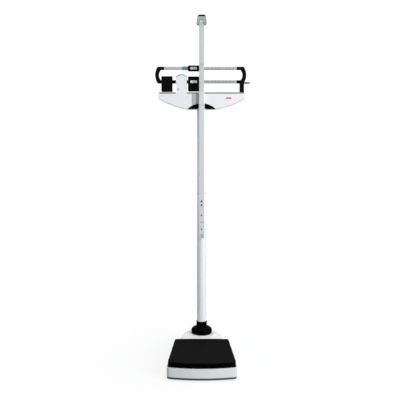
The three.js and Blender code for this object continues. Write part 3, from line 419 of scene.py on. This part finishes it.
def column_socket():
    """The column's black socket: a pillow-shaped flange and a neck with a rolled rim."""
    low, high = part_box("column_socket")
    middle = (low + high) / 2
    column_low, column_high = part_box("column_lower")
    bore = (column_high.x - column_low.x) / 2 + 0.3 * MM
    seat = column_low.z - 0.3 * MM
    flange = (high.x - low.x) / 2
    neck = flange - 28 * MM
    base, top = low.z, high.z
    rim = base + 14.7 * MM
    shoulder = rim + 22.5 * MM
    inside = 14 * MM
    profile = [(inside, base)]
    steps = 8
    for i in range(steps + 1):
        angle = (math.pi / 2) * i / steps
        profile.append((flange - 3.5 * MM * (1 - math.sin(angle)), rim - (rim - base) * math.cos(angle)))
    steps = 20
    for i in range(1, steps):
        angle = (math.pi / 2) * i / steps
        radius = neck + (flange - neck) * math.cos(angle)
        profile.append((radius, rim + (shoulder - rim) * math.sin(angle)))
    profile += [
        (neck - 0.2 * MM, shoulder + 1 * MM), (neck - 0.7 * MM, (shoulder + top) / 2),
        (neck - 0.3 * MM, top - 4 * MM), (neck, top - 1.5 * MM), (neck - 0.4 * MM, top - 0.4 * MM),
        (neck - 1.2 * MM, top), (bore + 0.3 * MM, top), (bore, top - 0.4 * MM), (bore, seat), (inside, seat),
        (inside, base),
    ]
    made = lathe(profile, (middle.x, middle.y))
    bmesh.ops.remove_doubles(made, verts=made.verts[:], dist=0.001 * MM)
    piece("column_socket_finish", mesh_of("column_socket_finish", made), BLACK_PLASTIC, "root",
          ["column_socket"])


def column_seam():
    """A thin dark joint line where the column's two tubes meet."""
    low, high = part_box("column_upper")
    middle = (low + high) / 2
    radius = (high.x - low.x) / 2
    seam = low.z - 0.3 * MM
    half = 1.1 * MM
    inner = radius - 0.8 * MM
    outer = radius + 0.35 * MM
    ring = flat_ring(inner, outer, seam - half, seam + half, (middle.x, middle.y), 96)
    piece("column_seam_line", mesh_of("column_seam_line", ring), GREY_INK, "root")


def spirit_level():
    """The level's domed window with its ring mark."""
    low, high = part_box("spirit_level_glass")
    middle = (low + high) / 2
    radius = (high.x - low.x) / 2
    rise = high.z - low.z - 0.4 * MM
    dome = [(0, low.z), (radius, low.z), (radius, low.z + rise * 0.6)]
    steps = 6
    for i in range(1, steps + 1):
        angle = (math.pi / 2) * i / steps
        reach = radius * math.cos(angle) if i < steps else 0
        dome.append((reach, low.z + rise * (0.6 + 0.4 * math.sin(angle))))
    window = lathe(dome, (middle.x, middle.y), 48)
    piece("spirit_level_window", mesh_of("spirit_level_window", window), FLUID, "root",
          ["spirit_level_glass"])
    mark = low.z + rise + 0.12 * MM
    ring_out, ring_in = 3.1 * MM, 2.5 * MM
    ring = flat_ring(ring_in, ring_out, mark - 0.5 * MM, mark, (middle.x, middle.y), 48)
    piece("spirit_level_ring", mesh_of("spirit_level_ring", ring), INK, "root")


# ---- Printed scales -----------------------------------------------------------------------

def bar_scale(bar, poise, name, steps_per_major, major_step, majors, unit, number_side):
    """Ticks and numbers on the front of a beam bar. The zero lies under the poise's middle."""
    low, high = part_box(bar)
    poise_low, poise_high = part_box(poise)
    zero = (poise_low.x + poise_high.x) / 2
    face = low.y
    ticks = bmesh.new()
    numbers = bmesh.new()
    depth = 0.12 * MM
    tick_edge = high.z if number_side < 0 else low.z
    inward = -1 if number_side < 0 else 1
    for i in range(majors * steps_per_major + 1):
        x = zero + i * major_step / steps_per_major
        if x > high.x - 2 * MM:
            break
        major = i % steps_per_major == 0
        length = (7.0 if major else 5.0) * MM
        half = (0.65 if major else 0.45) * MM
        near = tick_edge + inward * 0.5 * MM
        far = near + inward * length
        add_box(ticks, (x - half, face - depth, min(near, far)), (x + half, face + 0.2 * MM, max(near, far)))
        if major and x < high.x - 6 * MM:
            upright = Matrix.Rotation(math.pi / 2, 4, "X")
            z = (low.z + high.z) / 2 + number_side * 3.9 * MM
            place = Matrix.Translation((x, face - 0.04 * MM, z)) @ upright
            text_mesh(numbers, str(i // steps_per_major * unit), 6.8 * MM, place)
    piece(f"{name}_ticks", mesh_of(f"{name}_ticks", ticks, smooth=False), INK, "beam")
    piece(f"{name}_numbers", mesh_of(f"{name}_numbers", numbers, smooth=False), INK, "beam")


def rod_scale(node, body, name, low_z, high_z):
    """Centimetre ticks on both narrow sides of a height rod tube, longer at every fifth."""
    low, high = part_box(node)
    middle = (low.y + high.y) / 2
    ticks = bmesh.new()
    depth = 0.1 * MM
    step = 10 * MM
    for i in range(math.ceil(low_z / step), math.floor(high_z / step) + 1):
        z = i * step
        half_length = (3.6 if i % 5 == 0 else 2.2) * MM
        half = 0.3 * MM
        for side, face in ((-1, low.x), (1, high.x)):
            outer = face + side * depth
            inner = face - side * 0.2 * MM
            add_box(ticks, (min(outer, inner), middle - half_length, z - half),
                    (max(outer, inner), middle + half_length, z + half))
    piece(name, mesh_of(name, ticks, smooth=False), INK, body)


def rod_plugs():
    """Four dark plugs in the front of the fixed tube."""
    low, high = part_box("rod_outer")
    middle = (low.x + high.x) / 2 - 0.6 * MM
    for number, (above, radius) in enumerate(((198, 4.9), (177, 4.7), (122, 3.9), (46, 3.8)), 1):
        z = low.z + above * MM
        turn = Matrix.Translation((middle, low.y, z)) @ Matrix.Rotation(math.pi / 2, 4, "X")
        plug = lathe([(0, -1.0 * MM), (radius * MM, -1.0 * MM), (radius * MM, 0.35 * MM),
                      (radius * 0.85 * MM, 0.7 * MM), (radius * 0.45 * MM, 0.7 * MM),
                      (radius * 0.35 * MM, 0.3 * MM), (0, 0.3 * MM)], (0, 0), 32)
        bmesh.ops.transform(plug, matrix=turn, verts=plug.verts[:])
        name = f"rod_plug_{number}"
        piece(name, mesh_of(name, plug), BLACK_PLASTIC, "root")


def rod_lines():
    """Plain printed lines near the foot of the fixed tube, and one higher up."""
    low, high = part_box("rod_outer")
    middle = (low.x + high.x) / 2
    lines = bmesh.new()
    rows = [(2 + 5 * i, 11 - 2.2 * (i % 2), 1.0) for i in range(4)] + [(84, 10, 1.2)]
    for above, reach, half in rows:
        z = low.z + above * MM
        add_box(lines, (middle - (reach - 3) * MM, low.y - 0.1 * MM, z - half * MM),
                (middle + reach * MM, low.y + 0.2 * MM, z + half * MM))
    piece("rod_lines", mesh_of("rod_lines", lines, smooth=False), GREY_INK, "root")


def rod_red_line():
    """A fine red line across the front of the fixed tube, below its collar."""
    low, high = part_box("rod_outer")
    z = high.z - 70 * MM
    line = bmesh.new()
    inset, half = 0.2 * MM, 0.7 * MM
    add_box(line, (low.x + inset, low.y - 0.1 * MM, z - half), (high.x - inset, low.y + 0.2 * MM, z + half))
    piece("rod_red_line", mesh_of("rod_red_line", line, smooth=False), BADGE_RED, "root")


def head_badge():
    """A plain red bar where a maker would put a mark."""
    low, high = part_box("head_shell_front")
    x = (low.x + high.x) / 2 + 147 * MM
    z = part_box("head_lid")[0].z - 25 * MM
    across, up = 15 * MM, 4.6 * MM
    work = bmesh.new()
    add_box(work, (x - across, low.y - 0.5 * MM, z - up), (x + across, low.y + 0.3 * MM, z + up))
    made = piece("head_badge", mesh_of("head_badge", work), BADGE_RED, "root")
    soften(made, 0.3 * MM, 2)


def rounded_slab(work, centre, size, corner, front, back):
    """A flat slab with rounded corners: centre and size are in X and Z."""
    across, up = size[0] / 2 - corner, size[1] / 2 - corner
    steps = 6
    outline = []
    for quarter, (sx, sz) in enumerate(((1, 1), (-1, 1), (-1, -1), (1, -1))):
        for i in range(steps + 1):
            angle = (math.pi / 2) * (quarter + i / steps)
            outline.append((centre[0] + sx * across + corner * math.cos(angle),
                            centre[1] + sz * up + corner * math.sin(angle)))
    near = [work.verts.new((x, front, z)) for x, z in outline]
    far = [work.verts.new((x, back, z)) for x, z in outline]
    work.faces.new(near)
    work.faces.new(far[::-1])
    for i in range(len(outline)):
        j = (i + 1) % len(outline)
        work.faces.new((near[i], far[i], far[j], near[j]))


def poise_windows():
    """A pale lens in each poise's window, with a hairline to read the bar against."""
    for poise, bar, size in (("upper_poise", "upper_bar", (35, 14)), ("lower_poise", "lower_bar", (37, 15))):
        low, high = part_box(poise)
        bar_low, bar_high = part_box(bar)
        x = (low.x + high.x) / 2
        z = (bar_low.z + bar_high.z) / 2
        front = low.y + 1.0 * MM
        lens = bmesh.new()
        rounded_slab(lens, (x, z), [(side - 0.3) * MM for side in size], 2.8 * MM, front, front + 1.2 * MM)
        name = f"{poise}_lens"
        piece(name, mesh_of(name, lens, smooth=False), LENS, poise)
        line = bmesh.new()
        half, reach = 0.3 * MM, (size[1] / 2 - 1) * MM
        add_box(line, (x - half, front - 0.15 * MM, z - reach), (x + half, front + 0.1 * MM, z + reach))
        name = f"{poise}_hairline"
        piece(name, mesh_of(name, line, smooth=False), INK, poise)


# ---- Stage --------------------------------------------------------------------------------

def floor():
    """A pale sheet that fades into the white of the backdrop. Its glow is only for the camera."""
    work = bmesh.new()
    bmesh.ops.create_grid(work, x_segments=2, y_segments=2, size=14)
    mesh = mesh_of("floor", work)
    made = bpy.data.objects.new("floor", mesh)
    bpy.context.scene.collection.objects.link(made)
    material = bpy.data.materials.new("pale_floor")
    material.use_nodes = True
    tree = material.node_tree
    tree.nodes.clear()
    matte = tree.nodes.new("ShaderNodeBsdfDiffuse")
    matte.inputs["Color"].default_value = (0.80, 0.80, 0.81, 1)
    bounce = tree.nodes.new("ShaderNodeBsdfDiffuse")
    bounce.inputs["Color"].default_value = (0.42, 0.42, 0.43, 1)
    glow = tree.nodes.new("ShaderNodeEmission")
    glow.inputs["Color"].default_value = (1, 1, 1, 1)
    glow.inputs["Strength"].default_value = 1.02
    place = tree.nodes.new("ShaderNodeTexCoord")
    distance = tree.nodes.new("ShaderNodeVectorMath")
    distance.operation = "LENGTH"
    fade = tree.nodes.new("ShaderNodeMapRange")
    fade.inputs["From Min"].default_value = 0.3
    fade.inputs["From Max"].default_value = 1.0
    fade.inputs["To Min"].default_value = 0.75
    fade.inputs["To Max"].default_value = 1.0
    rays = tree.nodes.new("ShaderNodeLightPath")
    seen = tree.nodes.new("ShaderNodeMixShader")
    blend = tree.nodes.new("ShaderNodeMixShader")
    output = tree.nodes.new("ShaderNodeOutputMaterial")
    tree.links.new(place.outputs["Object"], distance.inputs[0])
    tree.links.new(distance.outputs["Value"], fade.inputs["Value"])
    tree.links.new(fade.outputs["Result"], seen.inputs["Fac"])
    tree.links.new(matte.outputs["BSDF"], seen.inputs[1])
    tree.links.new(glow.outputs["Emission"], seen.inputs[2])
    tree.links.new(rays.outputs["Is Camera Ray"], blend.inputs["Fac"])
    tree.links.new(bounce.outputs["BSDF"], blend.inputs[1])
    tree.links.new(seen.outputs["Shader"], blend.inputs[2])
    tree.links.new(blend.outputs["Shader"], output.inputs["Surface"])
    mesh.materials.append(material)


def world():
    """White for the camera, and a dimmer white as the room's light."""
    made = bpy.data.worlds.new("studio")
    bpy.context.scene.world = made
    made.use_nodes = True
    tree = made.node_tree
    seen = tree.nodes.new("ShaderNodeBackground")
    seen.inputs["Color"].default_value = (1, 1, 1, 1)
    seen.inputs["Strength"].default_value = 1.05
    room = tree.nodes["Background"]
    room.inputs["Color"].default_value = (0.97, 0.985, 1, 1)
    room.inputs["Strength"].default_value = 0.40
    rays = tree.nodes.new("ShaderNodeLightPath")
    blend = tree.nodes.new("ShaderNodeMixShader")
    tree.links.new(rays.outputs["Is Camera Ray"], blend.inputs["Fac"])
    tree.links.new(room.outputs["Background"], blend.inputs[1])
    tree.links.new(seen.outputs["Background"], blend.inputs[2])
    tree.links.new(blend.outputs["Shader"], tree.nodes["World Output"].inputs["Surface"])


def softbox(name, place, target, size, power, spread=180):
    """An area light that the camera doesn't see. spread is its beam's width in degrees."""
    data = bpy.data.lights.new(name, "AREA")
    data.shape = "RECTANGLE"
    data.size, data.size_y = size
    data.energy = power
    data.spread = math.radians(spread)
    made = bpy.data.objects.new(name, data)
    made.location = place
    made.rotation_euler = (Vector(target) - Vector(place)).to_track_quat("-Z", "Y").to_euler()
    made.visible_camera = False
    bpy.context.scene.collection.objects.link(made)


def lights():
    """Narrow lights from the floor up to the head, a large one in front at the right and one above."""
    for side in (-1, 1):
        softbox(f"under_{side}", (0.55 * side, 0.2, 0.06), (0, 0.2, 1.4), (0.4, 0.4), 0.5, spread=45)
    softbox("key_right", (3.0, -3.0, 2.0), (0, 0.1, 1.1), (1.6, 2.4), 138)
    softbox("top", (0.3, 0.4, 3.6), (0, 0.1, 0), (2.5, 2.5), 75)


def camera():
    """In front of the object, a little above its middle and tipped slightly down."""
    data = bpy.data.cameras.new("camera")
    data.sensor_width = 36
    data.lens = 49
    data.shift_y = -0.05
    made = bpy.data.objects.new("camera", data)
    made.location = (-0.014, -2.811, 1.0125)
    made.rotation_euler = (math.radians(90 - 1.5), 0, 0)
    bpy.context.scene.collection.objects.link(made)
    bpy.context.scene.camera = made


bpy.context.scene.view_settings.view_transform = "Standard"
dress_cad_nodes()
platform_mat()
column_socket()
column_seam()
spirit_level()
bar_scale("upper_bar", "upper_poise", "upper_scale", 10, 20 * MM, 11, 2, 1)
bar_scale("lower_bar", "lower_poise", "lower_scale", 4, 20 * MM, 11, 20, -1)
rod_scale("rod_outer", "root", "rod_outer_ticks", 0.62, 1.40)
rod_scale("rod_inner", "rod_slide", "rod_inner_ticks", 1.42, 1.78)
rod_plugs()
rod_lines()
rod_red_line()
head_badge()
poise_windows()
floor()
world()
lights()
camera()
